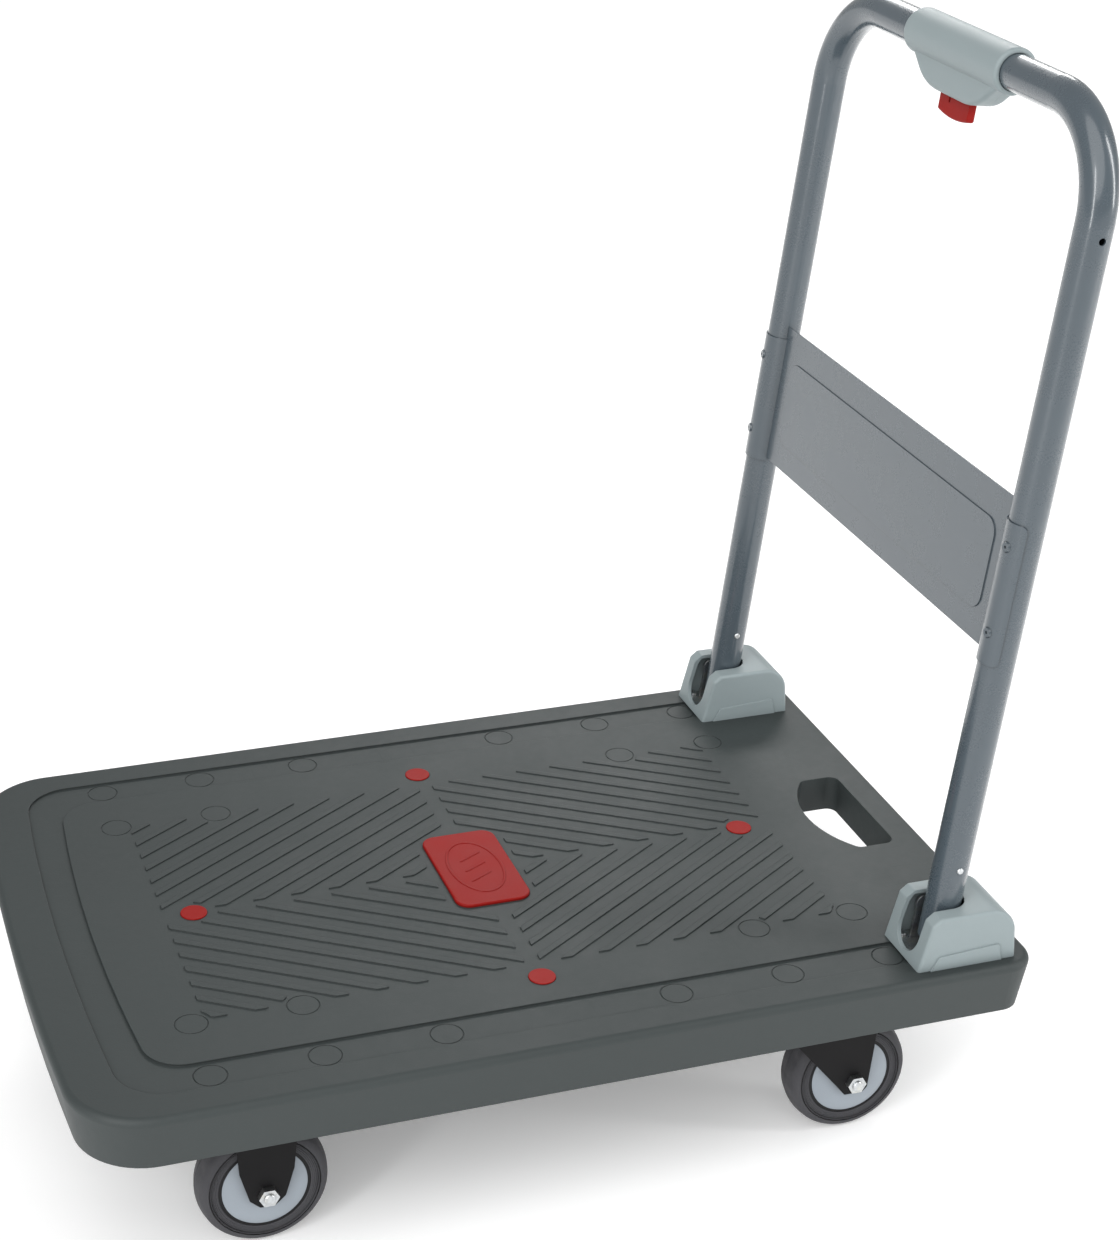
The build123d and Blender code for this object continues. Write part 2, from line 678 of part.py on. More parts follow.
for side, sy in sides.items():
    wheel_y = sy * caster_y
    front_x, swivel_x = deck_x - caster_x, deck_x + caster_x
    axle_x = {"front": front_x, "rear": swivel_x + swivel_trail}

    # rigid caster: plate and two legs pressed from one sheet
    with BuildPart() as rigid_fork:
        add(mounting_plate(front_x, wheel_y))
        extrude(amount=plate_thickness)
        leg = leg_outline(
            [
                (-24, plate_z - wheel_radius),
                (24, plate_z - wheel_radius),
                (19.5, 19),
                (13, -3.5),
                (5.5, -10.5),
                (-5.5, -10.5),
                (-13, -3.5),
                (-19.5, 19),
            ],
            (0, 0),
        )
        for flank in (-1, 1):
            with BuildSketch(
                Plane(
                    origin=(front_x, wheel_y + flank * (fork_gap + fork_thickness) / 2, wheel_radius),
                    x_dir=(1, 0, 0),
                    z_dir=(0, -1, 0),
                )
            ):
                add(leg)
            extrude(amount=fork_thickness / 2, both=True)
    rigid_fork.part.label = f"front_fork_{side}"
    export_step(rigid_fork.part, f"parts/front_fork_{side}.step")

    # swivel caster: plate with its race, kingpin, and the fork that turns
    with BuildPart() as swivel_plate:
        add(mounting_plate(swivel_x, wheel_y))
        extrude(amount=plate_thickness)
        with BuildSketch(Plane.XY.offset(plate_z)):
            with Locations((swivel_x, wheel_y)):
                Circle(race_radius)
        extrude(amount=-(plate_z - fork_crown_z - body_gap))
        with BuildSketch(Plane.XY.offset(caster_height)):
            with Locations((swivel_x, wheel_y)):
                Circle(kingpin_radius)
        extrude(amount=-caster_height, mode=Mode.SUBTRACT)
    swivel_plate.part.label = f"swivel_plate_{side}"
    export_step(swivel_plate.part, f"parts/swivel_plate_{side}.step")

    with BuildPart() as kingpin:
        head_seat = fork_crown_z - fork_thickness - body_gap
        with BuildSketch(Plane.XY.offset(head_seat)):
            with Locations((swivel_x, wheel_y)):
                Circle(kingpin_radius)
        extrude(amount=caster_height - head_seat)
        with BuildSketch(Plane.XY.offset(head_seat)):
            with Locations((swivel_x, wheel_y)):
                Circle(kingpin_head)
        extrude(amount=-2.6)
        fillet(kingpin.faces().sort_by(Axis.Z)[0].edges(), 1.2)
    kingpin.part.label = f"kingpin_{side}"
    export_step(kingpin.part, f"parts/kingpin_{side}.step")

    with BuildPart() as swivel_fork:
        crown_low = fork_crown_z - fork_thickness
        with BuildSketch(Plane.XY.offset(crown_low)):
            with Locations((swivel_x, wheel_y)):
                Circle(race_radius + race_wall)
            with Locations((swivel_x, wheel_y)):
                Rectangle(2 * (race_radius + 4), 2 * fork_face)
        extrude(amount=fork_thickness)
        with BuildSketch(Plane.XY.offset(fork_crown_z)):
            with Locations((swivel_x, wheel_y)):
                Circle(race_radius + race_wall)
                Circle(race_radius + body_gap, mode=Mode.SUBTRACT)
        extrude(amount=plate_z - fork_crown_z - 2)
        outer_ring = swivel_fork.faces().sort_by(Axis.Z)[-1].edges().sort_by(SortBy.RADIUS)[-1]
        fillet(outer_ring, 3)
        with BuildSketch(Plane.XY.offset(crown_low)):
            with Locations((swivel_x, wheel_y)):
                Circle(kingpin_radius + running_gap)
        extrude(amount=fork_thickness, mode=Mode.SUBTRACT)
        crown_rise = fork_crown_z - wheel_radius
        leg = leg_outline(
            [
                (-swivel_trail - race_radius - 4, crown_rise),
                (-swivel_trail + race_radius + 23, crown_rise),
                (14, 28),
                (11, -6.5),
                (7.5, -10.5),
                (-7.5, -10.5),
                (-12.5, -4),
                (-swivel_trail - race_radius - 4, crown_rise - 12),
            ],
            (0, 0),
        )
        for flank in (-1, 1):
            with BuildSketch(
                Plane(
                    origin=(
                        swivel_x + swivel_trail,
                        wheel_y + flank * (fork_gap + fork_thickness) / 2,
                        wheel_radius,
                    ),
                    x_dir=(1, 0, 0),
                    z_dir=(0, -1, 0),
                )
            ):
                add(leg)
            extrude(amount=fork_thickness / 2, both=True)
    swivel_fork.part.label = f"rear_fork_{side}"
    export_step(swivel_fork.part, f"parts/rear_fork_{side}.step")

    for end, x in axle_x.items():
        hub = Plane(origin=(x, wheel_y, wheel_radius), x_dir=(1, 0, 0), z_dir=(0, sy, 0))

        with BuildPart() as axle_bolt:
            with BuildSketch(hub.offset(-fork_face)):
                Circle(axle_radius)
            extrude(amount=2 * fork_face)
            with BuildSketch(hub.offset(fork_face)):
                RegularPolygon(hex_radius(bolt_head), 6)
            extrude(amount=bolt_head_height)
            with BuildSketch(hub.offset(fork_face + bolt_head_height)):
                Circle(axle_radius)
            extrude(amount=thread_end)
            chamfer(axle_bolt.faces().sort_by(Axis.Y)[0 if sy < 0 else -1].edges(), 0.6)
            with BuildSketch(hub.offset(-fork_face)):
                RegularPolygon(hex_radius(bolt_head), 6)
            extrude(amount=-bolt_head_height)
        axle_bolt.part.label = f"axle_bolt_{end}_{side}"
        export_step(axle_bolt.part, f"parts/axle_bolt_{end}_{side}.step")

        with BuildPart() as axle_sleeve:
            with BuildSketch(hub):
                Circle(spacer_radius)
                Circle(axle_radius, mode=Mode.SUBTRACT)
            extrude(amount=fork_gap / 2, both=True)
        axle_sleeve.part.label = f"axle_sleeve_{end}_{side}"
        export_step(axle_sleeve.part, f"parts/axle_sleeve_{end}_{side}.step")

        with BuildPart() as tyre:
            profile = Plane(origin=(x, wheel_y, wheel_radius), x_dir=(0, 1, 0), z_dir=(1, 0, 0))
            with BuildSketch(profile) as tread:
                half = tyre_width / 2
                with BuildLine() as tread_edge:
                    Polyline(
                        (half, wheel_radius - crown_drop),
                        (half, wall_step_radius + wall_step),
                        (half - wall_step, wall_step_radius),
                        (half - wall_step, tread_inner),
                        (wall_step - half, tread_inner),
                        (wall_step - half, wall_step_radius),
                        (-half, wall_step_radius + wall_step),
                        (-half, wheel_radius - crown_drop),
                    )
                    ThreePointArc(
                        (-half, wheel_radius - crown_drop),
                        (0, wheel_radius),
                        (half, wheel_radius - crown_drop),
                    )
                make_face()
                fillet(tread.vertices().group_by(Axis.Y)[-1], shoulder_round)
            revolve(axis=Axis((x, wheel_y, wheel_radius), (0, 1, 0)))
        tyre.part.label = f"tyre_{end}_{side}"
        export_step(tyre.part, f"parts/tyre_{end}_{side}.step")

        cap_seat = rim_width / 2 - 1.5
        with BuildPart() as rim:
            with BuildSketch(hub):
                Circle(tread_inner)
            extrude(amount=rim_width / 2, both=True)
            for flank in (-1, 1):
                with BuildSketch(hub.offset(flank * cap_seat)):
                    Circle(cap_radius)
                    Circle(spacer_radius + 1, mode=Mode.SUBTRACT)
                extrude(amount=flank * rim_width, mode=Mode.SUBTRACT)
            with BuildSketch(hub):
                Circle(spacer_radius + 3)
            extrude(amount=hub_length / 2, both=True)
            with BuildSketch(hub):
                Circle(spacer_radius + running_gap)
            extrude(amount=fork_gap, both=True, mode=Mode.SUBTRACT)
        rim.part.label = f"wheel_rim_{end}_{side}"
        export_step(rim.part, f"parts/wheel_rim_{end}_{side}.step")

        with BuildPart() as wheel_caps:
            for flank in (-1, 1):
                with BuildSketch(profile) as dome:
                    with BuildLine() as dome_edge:
                        Polyline(
                            (flank * (cap_seat + 1.8), cap_radius),
                            (flank * cap_seat, cap_radius),
                            (flank * cap_seat, spacer_radius + 3),
                            (flank * (cap_seat + 1.8 + cap_dome), spacer_radius + 3),
                            (flank * (cap_seat + 1.8 + cap_dome), spacer_radius + 6),
                        )
                        ThreePointArc(
                            (flank * (cap_seat + 1.8 + cap_dome), spacer_radius + 6),
                            (
                                flank * (cap_seat + 1.8 + cap_dome * 0.72),
                                (cap_radius + spacer_radius + 6) / 2,
                            ),
                            (flank * (cap_seat + 1.8), cap_radius),
                        )
                    make_face()
                revolve(axis=Axis((x, wheel_y, wheel_radius), (0, 1, 0)))
        wheel_caps.part.label = f"wheel_caps_{end}_{side}"
        export_step(wheel_caps.part, f"parts/wheel_caps_{end}_{side}.step")

# ================================================================ handle
bush_radius = hinge_pin_radius + running_gap + bush_wall
guide_slot = guide_radius + slide_gap
with BuildPart() as handle_tube:
    with BuildLine(handle_plane()) as centre_line:
        shoulder = handle_reach - bend_radius
        inner = upright_y - bend_radius
        rise = Line((-upright_y, -tube_tail), (-upright_y, shoulder))
        turn = JernArc(rise @ 1, rise % 1, bend_radius, -90)
        bar = Line(turn @ 1, (inner, handle_reach))
        back = JernArc(bar @ 1, bar % 1, bend_radius, -90)
        Line(back @ 1, (upright_y, -tube_tail))
    with BuildSketch(upright_plane(-upright_y, -tube_tail)):
        Circle(tube_radius)
        Circle(bore_radius, mode=Mode.SUBTRACT)
    sweep()
    for sy in sides.values():
        # cross holes: hinge bush, guide rivet, wire hole, panel rivets
        with BuildSketch(
            Plane(
                origin=handle_plane(sy * upright_y, 0).origin,
                x_dir=(cos(lean), 0, -sin(lean)),
                z_dir=(0, -1, 0),
            )
        ):
            Circle(bush_radius)
            with Locations((0, guide_at)):
                Circle(guide_radius)
        extrude(amount=2 * tube_radius, both=True, mode=Mode.SUBTRACT)
        with BuildSketch(
            Plane(origin=handle_plane(sy * upright_y, wire_hole).origin, x_dir=(cos(lean), 0, -sin(lean)),
                  z_dir=(0, sy, 0))
        ):
            Circle(2.6)
        extrude(amount=2 * tube_radius, mode=Mode.SUBTRACT)
        for at in (rivet_low, rivet_high):
            with BuildSketch(rivet_plane(sy, at)):
                Circle(rivet_radius)
            extrude(amount=2 * tube_radius, mode=Mode.SUBTRACT)
handle_tube.part.label = "handle_tube"
export_step(handle_tube.part, "parts/handle_tube.step")

wrap_inner = tube_radius + running_gap
with BuildPart() as cross_panel:
    # flat sheet between the uprights
    flat_reach = upright_y - sqrt(tube_radius**2 - panel_offset**2) - 0.4
    with BuildSketch(handle_plane(0, 0, -panel_offset)) as sheet:
        with Locations((0, (panel_bottom + panel_top) / 2)):
            Rectangle(2 * flat_reach, panel_top - panel_bottom)
    extrude(amount=panel_sheet / 2, both=True)
    # pressed field: the sheet steps forward by most of its thickness
    field_low, field_high = panel_bottom + emboss_low, panel_top - emboss_high
    with BuildSketch(handle_plane(0, 0, -panel_offset - panel_sheet / 2)) as raised:
        with Locations((0, (field_low + field_high) / 2)):
            RectangleRounded(2 * (flat_reach - emboss_side), field_high - field_low, emboss_corner)
    extrude(amount=-0.9)
    with BuildSketch(handle_plane(0, 0, -panel_offset + panel_sheet / 2)) as pressed:
        with Locations((0, (field_low + field_high) / 2)):
            RectangleRounded(2 * (flat_reach - emboss_side), field_high - field_low, emboss_corner)
    extrude(amount=-0.8, mode=Mode.SUBTRACT)
    # wraps: the sheet's ends curl round the front of the uprights
    for sy in sides.values():
        with BuildSketch(upright_plane(sy * upright_y, wrap_bottom)) as curl:
            Circle(wrap_inner + panel_sheet)
            Circle(wrap_inner, mode=Mode.SUBTRACT)
            with BuildLine() as window_edge:
                reach = 3 * tube_radius
                Polyline(
                    (0, 0),
                    (-sy * reach, (panel_offset - panel_sheet / 2) * reach / tube_radius),
                    (-sy * reach, reach),
                    (sy * reach * sin(radians(wrap_end)), reach * cos(radians(wrap_end))),
                    close=True,
                )
            make_face(mode=Mode.INTERSECT)
        extrude(amount=wrap_top - wrap_bottom)
        for at in (rivet_low, rivet_high):
            with BuildSketch(rivet_plane(sy, at)):
                Circle(rivet_radius)
            extrude(amount=2 * tube_radius, mode=Mode.SUBTRACT)
            with BuildSketch(rivet_plane(sy, at).offset(wrap_inner + panel_sheet - rivet_seat)):
                Circle(2 * rivet_radius)
            extrude(amount=2 * tube_radius, mode=Mode.SUBTRACT)
    wrap_tips = cross_panel.edges().filter_by(
        lambda e: abs(e.length - panel_sheet) < 0.05 and abs(e.center().Y) > upright_y + 0.7 * tube_radius
    )
    fillet(wrap_tips, wrap_corner)
cross_panel.part.label = "cross_panel"
export_step(cross_panel.part, "parts/cross_panel.step")

with BuildPart() as panel_rivets:
    for sy in sides.values():
        for at in (rivet_low, rivet_high):
            axis_plane = rivet_plane(sy, at)
            seat = wrap_inner + panel_sheet - rivet_seat
            with BuildSketch(axis_plane.offset(bore_radius - 3)):
                Circle(rivet_radius)
            extrude(amount=seat - bore_radius + 3)
            with BuildSketch(axis_plane.offset(seat)):
                Circle(2 * rivet_radius)
            extrude(amount=rivet_head, taper=25)
            with BuildSketch(axis_plane.offset(seat + 0.4)):
                Circle(0.55 * rivet_radius)
            extrude(amount=2 * rivet_head, mode=Mode.SUBTRACT)
panel_rivets.part.label = "panel_rivets"
export_step(panel_rivets.part, "parts/panel_rivets.step")

for side, sy in sides.items():
    across = sy * upright_y
    pin_across = Plane(
        origin=handle_plane(across, 0).origin, x_dir=(cos(lean), 0, -sin(lean)), z_dir=(0, -1, 0)
    )

    with BuildPart() as hinge_bush:
        with BuildSketch(pin_across):
            Circle(bush_radius)
            Circle(hinge_pin_radius + running_gap, mode=Mode.SUBTRACT)
        extrude(amount=ear_gap / 2 - body_gap, both=True)
    hinge_bush.part.label = f"hinge_bush_{side}"
    export_step(hinge_bush.part, f"parts/hinge_bush_{side}.step")

    # latch: a round plunger in the bore, with a flat nose that passes behind the hinge pin
    with BuildPart() as plunger:
        with BuildSketch(upright_plane(across, plunger_bottom)):
            Circle(plunger_radius)
        extrude(amount=plunger_top - plunger_bottom)
        chamfer(plunger.faces().sort_by(Axis.Z)[-1].edges(), 1)
        with BuildSketch(upright_plane(across, -latch_tip)):
            with Locations((0, -latch_offset)):
                Rectangle(9, 3.6)
        extrude(amount=latch_tip + plunger_bottom + 2)
        with BuildSketch(pin_across):
            with Locations((0, guide_at - trigger_travel / 2)):
                SlotCenterToCenter(trigger_travel, 2 * guide_slot, rotation=90)
        extrude(amount=2 * plunger_radius, both=True, mode=Mode.SUBTRACT)
        with BuildSketch(upright_plane(across, rod_bottom)):
            Circle(rod_radius)
        extrude(amount=plunger_top, mode=Mode.SUBTRACT)
    plunger.part.label = f"latch_plunger_{side}"
    export_step(plunger.part, f"parts/latch_plunger_{side}.step")

    with BuildPart() as guide_rivet:
        with BuildSketch(pin_across):
            with Locations((0, guide_at)):
                Circle(guide_radius)
        extrude(amount=tube_radius + 0.9, both=True)
        chamfer(guide_rivet.faces().filter_by(Axis.Y).edges(), 0.6)
    guide_rivet.part.label = f"guide_rivet_{side}"
    export_step(guide_rivet.part, f"parts/guide_rivet_{side}.step")

    with BuildPart() as pull_rod:
        with BuildSketch(upright_plane(across, rod_bottom)):
            Circle(rod_radius)
        extrude(amount=rod_top - rod_bottom)
        with BuildSketch(upright_plane(across, rod_top)):
            Circle(2.2 * rod_radius)
        extrude(amount=6)
    pull_rod.part.label = f"pull_rod_{side}"
    export_step(pull_rod.part, f"parts/pull_rod_{side}.step")

    with BuildPart() as spring_seat:
        with BuildSketch(upright_plane(across, seat_at)):
            Circle(bore_radius)
            Circle(rod_radius + slide_gap, mode=Mode.SUBTRACT)
        extrude(amount=seat_length)
    spring_seat.part.label = f"spring_seat_{side}"
    export_step(spring_seat.part, f"parts/spring_seat_{side}.step")

    coil_low = plunger_top + spring_wire + 0.1
    coil_length = seat_at - spring_wire - 0.1 - coil_low
    coil_base = upright_plane(across, coil_low)
    with BuildPart() as latch_spring:
        with BuildLine():
            coil = Helix(
                pitch=coil_length / spring_turns,
                height=coil_length,
                radius=spring_radius,
                center=coil_base.origin,
                direction=coil_base.z_dir,
            )
        with BuildSketch(Plane(origin=coil @ 0, z_dir=coil % 0)):
            Circle(spring_wire)
        sweep(is_frenet=True)
    latch_spring.part.label = f"latch_spring_{side}"
    export_step(latch_spring.part, f"parts/latch_spring_{side}.step")

# ================================================================ grip and release trigger
grip_plane = handle_plane(0, handle_reach)
bar_axis_plane = Plane(origin=grip_plane.origin, x_dir=(1, 0, 0), z_dir=(0, 1, 0))
pocket_half = trigger_width / 2 + slide_gap
for half, keep in (("front", Keep.BOTTOM), ("rear", Keep.TOP)):
    with BuildPart() as grip_half:
        with BuildSketch(bar_axis_plane):
            Circle(grip_radius)
        extrude(amount=grip_length / 2, both=True)
        fillet(grip_half.faces().filter_by(Axis.Y).edges(), grip_end_round)
        with BuildSketch(grip_plane) as belly:
            root = (grip_length / 2 - 4, -0.75 * grip_radius)
            with BuildLine() as belly_edge:
                Polyline((-root[0], root[1]), (-root[0], 0), (root[0], 0), root)
                Spline(
                    root,
                    (belly_knee[0], -belly_knee[1]),
                    (belly_half, -belly_drop),
                    tangents=((-1, -0.45), (-1, 0)),
                )
                Line((belly_half, -belly_drop), (-belly_half, -belly_drop))
                Spline(
                    (-belly_half, -belly_drop),
                    (-belly_knee[0], -belly_knee[1]),
                    (-root[0], root[1]),
                    tangents=((-1, 0), (-1, 0.45)),
                )
            make_face()
        extrude(amount=belly_width / 2, both=True)
        keel = grip_half.edges().filter_by(
            lambda e: (e.center() - grip_plane.origin).dot(grip_plane.y_dir) < -grip_radius - 1
            and abs((e.center() - grip_plane.origin).dot(grip_plane.z_dir)) > belly_width / 2 - 0.1
        )
        fillet(keel, belly_round)
        with BuildSketch(bar_axis_plane):
            Circle(tube_radius + 0.3)
        extrude(amount=grip_length, both=True, mode=Mode.SUBTRACT)
        # guide pocket of the trigger
        with BuildSketch(grip_plane):
            with Locations((0, -belly_drop)):
                Rectangle(2 * pocket_half, 2 * (belly_drop - tube_radius))
        extrude(amount=trigger_thickness / 2 + slide_gap, both=True, mode=Mode.SUBTRACT)
        # screw holes through the belly, counterbored at the rear
        with BuildSketch(grip_plane.offset(-belly_width / 2 + 3)):
            with Locations(*grip_screw_places()):
                Circle(grip_screw_radius)
        extrude(amount=belly_width, mode=Mode.SUBTRACT)
        with BuildSketch(grip_plane.offset(belly_width / 2 - 3)):
            with Locations(*grip_screw_places()):
                Circle(2 * grip_screw_radius)
        extrude(amount=belly_width, mode=Mode.SUBTRACT)
        split(bisect_by=grip_plane, keep=keep)
    grip_half.part.label = f"grip_{half}"
    export_step(grip_half.part, f"parts/grip_{half}.step")

with BuildPart() as grip_screws:
    with BuildSketch(grip_plane.offset(-belly_width / 2 + 3.5)):
        with Locations(*grip_screw_places()):
            Circle(grip_screw_radius)
    extrude(amount=belly_width - 6.5)
    with BuildSketch(grip_plane.offset(belly_width / 2 - 3)):
        with Locations(*grip_screw_places()):
            Circle(1.85 * grip_screw_radius)
    extrude(amount=1.8)
grip_screws.part.label = "grip_screws"
export_step(grip_screws.part, "parts/grip_screws.step")

with BuildPart() as release_trigger:
    trigger_top = -tube_radius - trigger_travel - 1.2
    with BuildSketch(grip_plane) as tab:
        with BuildLine() as tab_edge:
            Polyline(
                (-trigger_width / 2, trigger_bow - trigger_drop),
                (-trigger_width / 2, trigger_top),
                (trigger_width / 2, trigger_top),
                (trigger_width / 2, trigger_bow - trigger_drop),
            )
            ThreePointArc(
                (trigger_width / 2, trigger_bow - trigger_drop),
                (0, -trigger_drop),
                (-trigger_width / 2, trigger_bow - trigger_drop),
            )
        make_face()
    extrude(amount=trigger_thickness / 2, both=True)
    low_edges = release_trigger.edges().filter_by(
        lambda e: (e.center() - grip_plane.origin).dot(grip_plane.y_dir) < trigger_bow - trigger_drop + 1
    )
    fillet(low_edges, 1.5)
    with BuildSketch(grip_plane.offset(-trigger_thickness / 2)):
        with Locations(trigger_mark):
            SlotOverall(mark_size[0], mark_size[1], rotation=90)
    extrude(amount=2, both=True, mode=Mode.SUBTRACT)
release_trigger.part.label = "release_trigger"
export_step(release_trigger.part, "parts/release_trigger.step")
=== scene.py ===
import json
import logging
import math
from dataclasses import dataclass
from enum import Enum
from typing import Any, Mapping, Sequence, Union

import bpy
from mathutils import Matrix, Vector

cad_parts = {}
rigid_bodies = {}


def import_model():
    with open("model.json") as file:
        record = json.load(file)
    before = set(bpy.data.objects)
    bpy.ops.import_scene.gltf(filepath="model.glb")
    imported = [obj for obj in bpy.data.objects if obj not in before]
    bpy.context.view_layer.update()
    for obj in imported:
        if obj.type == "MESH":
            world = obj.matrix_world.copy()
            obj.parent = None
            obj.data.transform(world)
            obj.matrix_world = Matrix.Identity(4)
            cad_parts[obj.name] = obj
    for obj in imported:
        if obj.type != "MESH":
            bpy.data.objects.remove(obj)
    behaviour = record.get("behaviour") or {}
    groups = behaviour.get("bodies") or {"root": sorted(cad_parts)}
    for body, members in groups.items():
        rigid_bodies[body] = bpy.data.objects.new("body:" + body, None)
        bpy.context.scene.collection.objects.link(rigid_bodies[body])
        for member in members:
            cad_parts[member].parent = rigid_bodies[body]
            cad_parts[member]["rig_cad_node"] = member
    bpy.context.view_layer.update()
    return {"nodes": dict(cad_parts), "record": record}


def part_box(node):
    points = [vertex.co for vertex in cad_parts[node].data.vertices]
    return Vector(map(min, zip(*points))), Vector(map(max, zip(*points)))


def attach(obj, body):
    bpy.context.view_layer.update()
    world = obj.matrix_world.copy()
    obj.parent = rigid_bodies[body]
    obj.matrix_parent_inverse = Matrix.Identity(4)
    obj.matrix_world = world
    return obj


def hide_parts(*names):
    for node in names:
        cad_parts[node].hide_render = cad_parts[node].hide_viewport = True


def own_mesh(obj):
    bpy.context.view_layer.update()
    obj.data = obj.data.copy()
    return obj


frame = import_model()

SIDES = ("left", "right")
ENDS = ("front", "rear")

log = logging.getLogger("platform_cart")

Colour = tuple[float, float, float]
Point = tuple[float, float, float]


# --------------------------------------------------------------------------- shader expressions
class Tap:
    """A shader socket that stands in Python expressions; each operator adds the node it needs."""

    def __init__(self, graph: "Graph", socket: bpy.types.NodeSocket) -> None:
        """Keep the socket and the graph it belongs to.

        Args:
            graph: The material's node graph.
            socket: An output socket of one of its nodes.
        """
        self.graph = graph
        self.socket = socket

    @property
    def kind(self) -> str:
        """Say whether the socket carries a value, a vector or a colour."""
        return {"VECTOR": "vector", "RGBA": "colour"}.get(self.socket.type, "value")

    def _combine(self, operation: str, other: "Value", swapped: bool = False) -> "Tap":
        """Add the node for one arithmetic operation.

        Args:
            operation: ADD, SUBTRACT, MULTIPLY or DIVIDE.
            other: The second operand.
            swapped: True when this socket is the right-hand operand.

        Returns:
            The result's socket.
        """
        first, second = (other, self) if swapped else (self, other)
        kinds = {tap.kind for tap in (self, other) if isinstance(tap, Tap)}
        if "colour" in kinds:
            return self.graph.mix(first, second, 1.0, blend=operation)
        if "vector" in kinds:
            return self.graph.add("ShaderNodeVectorMath", {"operation": operation}, {0: first, 1: second})
        return self.graph.add("ShaderNodeMath", {"operation": operation}, {0: first, 1: second})

    def __add__(self, other: "Value") -> "Tap":
        """Sum with another value."""
        return self._combine("ADD", other)

    def __radd__(self, other: "Value") -> "Tap":
        """Sum with a value on the left."""
        return self._combine("ADD", other, swapped=True)

    def __sub__(self, other: "Value") -> "Tap":
        """Difference from another value."""
        return self._combine("SUBTRACT", other)

    def __rsub__(self, other: "Value") -> "Tap":
        """Difference from a value on the left."""
        return self._combine("SUBTRACT", other, swapped=True)

    def __mul__(self, other: "Value") -> "Tap":
        """Product with another value."""
        return self._combine("MULTIPLY", other)

    def __rmul__(self, other: "Value") -> "Tap":
        """Product with a value on the left."""
        return self._combine("MULTIPLY", other, swapped=True)

    def __truediv__(self, other: "Value") -> "Tap":
        """Quotient by another value."""
        return self._combine("DIVIDE", other)

    def clamp(self, low: float = 0.0, high: float = 1.0) -> "Tap":
        """Hold a value between two limits."""
        return self.graph.add("ShaderNodeClamp", {}, {"Value": self, "Min": low, "Max": high})

    def step(self, start: float, end: float, low: float = 0.0, high: float = 1.0) -> "Tap":
        """Map a value smoothly from one span to another.

        Args:
            start: Input that gives low.
            end: Input that gives high.
            low: Output at start.
            high: Output at end.

        Returns:
            The mapped value's socket.
        """
        return self.graph.add(
            "ShaderNodeMapRange",
            {"interpolation_type": "SMOOTHSTEP"},
            {"Value": self, "From Min": start, "From Max": end, "To Min": low, "To Max": high},
        )


Value = Union[Tap, float, Sequence[float]]


